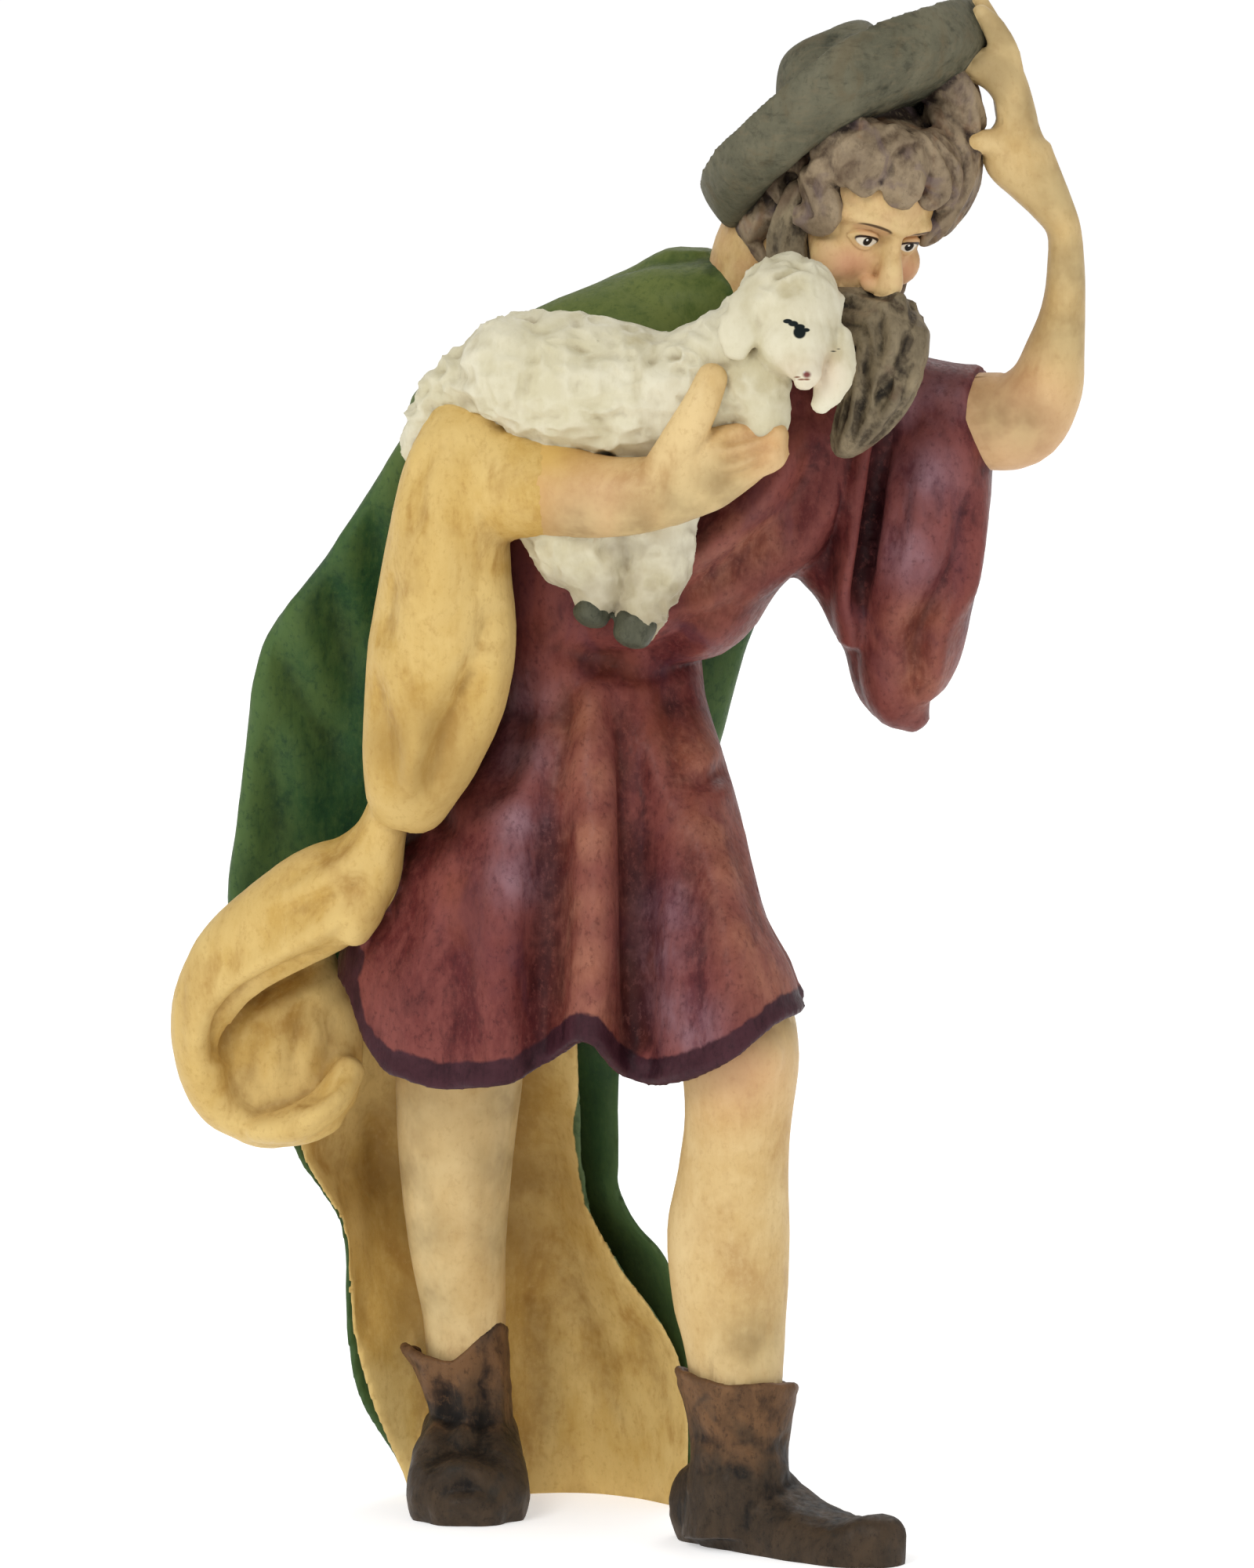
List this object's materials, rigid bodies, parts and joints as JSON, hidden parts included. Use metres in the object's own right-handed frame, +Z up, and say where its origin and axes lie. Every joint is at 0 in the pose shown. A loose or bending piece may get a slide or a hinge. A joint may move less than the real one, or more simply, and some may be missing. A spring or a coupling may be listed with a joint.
{
  "type": "wooden good shepherd statue",
  "caption": "Carved and painted wooden shepherd in boots, tunic, cloak and wide hat, one arm holding a lamb and the other raised to the hat's brim, standing without a plinth.",
  "frame": {"origin": "on the ground, under the centre of the statue's bounding box", "axes": "+Z up, the figure's front faces -Y, and its raised arm is on the +X side"},
  "size_m": [0.1178, 0.0772, 0.2],
  "materials": {
    "painted_wood": "satin"
  },
  "bodies": {
    "root": {"shepherd": "painted_wood"}
  },
  "joints": []
}
